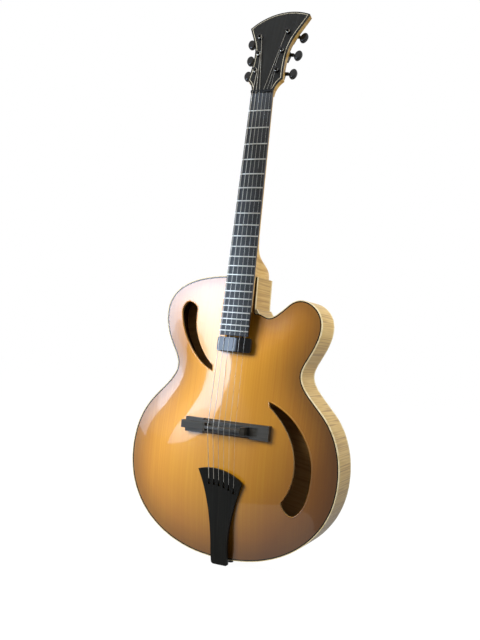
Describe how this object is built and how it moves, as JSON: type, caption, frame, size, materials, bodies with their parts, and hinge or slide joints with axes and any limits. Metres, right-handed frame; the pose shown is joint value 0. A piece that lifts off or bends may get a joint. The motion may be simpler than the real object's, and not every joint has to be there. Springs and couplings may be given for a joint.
{
  "type": "archtop guitar",
  "caption": "Hollow-body archtop guitar with carved top, cutaway, crescent sound holes, wedge-raised bridge, slim pickup and geared tuning machines.",
  "frame": {"origin": "seat of the end pin on the tail rib, midway between the front and back rims", "axes": "+X to the treble side, +Y to the back, +Z from tail to headstock"},
  "size_m": [0.432, 0.1465, 1.0916],
  "materials": {
    "spruce": "gloss",
    "maple": "gloss",
    "pale_trim": "gloss",
    "inner_wood": "matte",
    "black_trim": "gloss",
    "ebony": "satin",
    "nut_black": "satin",
    "fret_wire": "polished",
    "string_steel": "polished",
    "rod_steel": "satin",
    "black_metal": "gloss",
    "worm_steel": "satin",
    "button_black": "gloss",
    "pickup_black": "gloss",
    "copper_coil": "matte",
    "control_black": "satin"
  },
  "bodies": {
    "guitar": {"top_plate": "spruce", "top_purfling": "black_trim", "back_plate": "maple", "bass_lower_rib": "maple", "bass_upper_rib": "maple", "treble_lower_rib": "maple", "treble_upper_rib": "maple", "cutaway_rib": "maple", "top_binding": "pale_trim", "back_binding": "pale_trim", "top_lining": "inner_wood", "back_lining": "inner_wood", "neck_block": "inner_wood", "tail_block": "inner_wood", "tone_bars": "spruce", "neck": "maple", "truss_rod": "rod_steel", "fingerboard": "ebony", "frets": "fret_wire", "nut": "nut_black", "head_veneer": "ebony", "head_line": "pale_trim", "tuner_bushings": "black_metal", "tuner_housings": "black_metal", "tuner_screws": "black_metal", "string_1": "string_steel", "string_2": "string_steel", "string_3": "string_steel", "string_4": "string_steel", "string_5": "string_steel", "string_6": "string_steel", "bridge_base": "ebony", "tailpiece": "ebony", "tail_bracket": "black_metal", "end_pin_jack": "black_metal", "pickup_cover": "pickup_black", "pickup_coil": "copper_coil", "pickup_rods": "rod_steel", "volume_pot": "control_black"},
    "key_1": {"tuner_worm_1": "worm_steel", "tuner_button_1": "button_black"},
    "post_1": {"tuner_post_1": "black_metal"},
    "key_2": {"tuner_worm_2": "worm_steel", "tuner_button_2": "button_black"},
    "post_2": {"tuner_post_2": "black_metal"},
    "key_3": {"tuner_worm_3": "worm_steel", "tuner_button_3": "button_black"},
    "post_3": {"tuner_post_3": "black_metal"},
    "key_4": {"tuner_worm_4": "worm_steel", "tuner_button_4": "button_black"},
    "post_4": {"tuner_post_4": "black_metal"},
    "key_5": {"tuner_worm_5": "worm_steel", "tuner_button_5": "button_black"},
    "post_5": {"tuner_post_5": "black_metal"},
    "key_6": {"tuner_worm_6": "worm_steel", "tuner_button_6": "button_black"},
    "post_6": {"tuner_post_6": "black_metal"},
    "wedge": {"bridge_wedge": "ebony"},
    "saddle": {"bridge_saddle": "ebony"},
    "wheel": {"volume_wheel": "control_black"}
  },
  "joints": [
    {"name": "key_1_turn", "type": "hinge", "parent": "guitar", "child": "key_1", "pos_m": [0.02293, 0.00423, 0.94559], "axis": [0.9936, -0.034, -0.108], "continuous": true},
    {"name": "post_1_turn", "type": "hinge", "parent": "guitar", "child": "post_1", "pos_m": [0.022, -0.01777, 0.94398], "axis": [0, -0.9537, 0.3007], "continuous": true},
    {"name": "key_2_turn", "type": "hinge", "parent": "guitar", "child": "key_2", "pos_m": [0.02577, 0.01802, 0.98932], "axis": [0.9763, -0.0651, -0.2064], "continuous": true},
    {"name": "post_2_turn", "type": "hinge", "parent": "guitar", "child": "post_2", "pos_m": [0.024, -0.00394, 0.98785], "axis": [0, -0.9537, 0.3007], "continuous": true},
    {"name": "key_3_turn", "type": "hinge", "parent": "guitar", "child": "key_3", "pos_m": [0.03073, 0.03134, 1.03156], "axis": [0.9511, -0.0929, -0.2947], "continuous": true},
    {"name": "post_3_turn", "type": "hinge", "parent": "guitar", "child": "post_3", "pos_m": [0.0282, 0.00944, 1.03029], "axis": [0, -0.9537, 0.3007], "continuous": true},
    {"name": "key_4_turn", "type": "hinge", "parent": "guitar", "child": "key_4", "pos_m": [-0.03179, 0.02896, 1.02403], "axis": [-0.9636, -0.0804, -0.2549], "continuous": true},
    {"name": "post_4_turn", "type": "hinge", "parent": "guitar", "child": "post_4", "pos_m": [-0.0296, 0.00703, 1.02266], "axis": [0, -0.9537, 0.3007], "continuous": true},
    {"name": "key_5_turn", "type": "hinge", "parent": "guitar", "child": "key_5", "pos_m": [-0.02584, 0.01637, 0.9841], "axis": [-0.9799, -0.06, -0.1901], "continuous": true},
    {"name": "post_5_turn", "type": "hinge", "parent": "guitar", "child": "post_5", "pos_m": [-0.0242, -0.0056, 0.9826], "axis": [0, -0.9537, 0.3007], "continuous": true},
    {"name": "key_6_turn", "type": "hinge", "parent": "guitar", "child": "key_6", "pos_m": [-0.02336, 0.00453, 0.94655], "axis": [-0.9945, -0.0314, -0.0997], "continuous": true},
    {"name": "post_6_turn", "type": "hinge", "parent": "guitar", "child": "post_6", "pos_m": [-0.0225, -0.01747, 0.94493], "axis": [0, -0.9537, 0.3007], "continuous": true},
    {"name": "wedge_slide", "type": "slide", "parent": "guitar", "child": "wedge", "axis": [1, 0, 0], "range_m": [-0.012, 0]},
    {"name": "saddle_lift", "type": "slide", "parent": "guitar", "child": "saddle", "axis": [0, -1, 0], "range_m": [-0.0009, 0]},
    {"name": "volume_turn", "type": "hinge", "parent": "guitar", "child": "wheel", "pos_m": [0.17159, -0.03642, 0.165], "axis": [0, 1, 0], "range_deg": [-135, 135]}
  ],
  "couplings": [
    {"joint": "post_1_turn", "follows": "key_1_turn", "ratio": 0.0625},
    {"joint": "post_2_turn", "follows": "key_2_turn", "ratio": 0.0625},
    {"joint": "post_3_turn", "follows": "key_3_turn", "ratio": 0.0625},
    {"joint": "post_4_turn", "follows": "key_4_turn", "ratio": -0.0625},
    {"joint": "post_5_turn", "follows": "key_5_turn", "ratio": -0.0625},
    {"joint": "post_6_turn", "follows": "key_6_turn", "ratio": -0.0625},
    {"joint": "saddle_lift", "follows": "wedge_slide", "ratio": 0.0667}
  ]
}
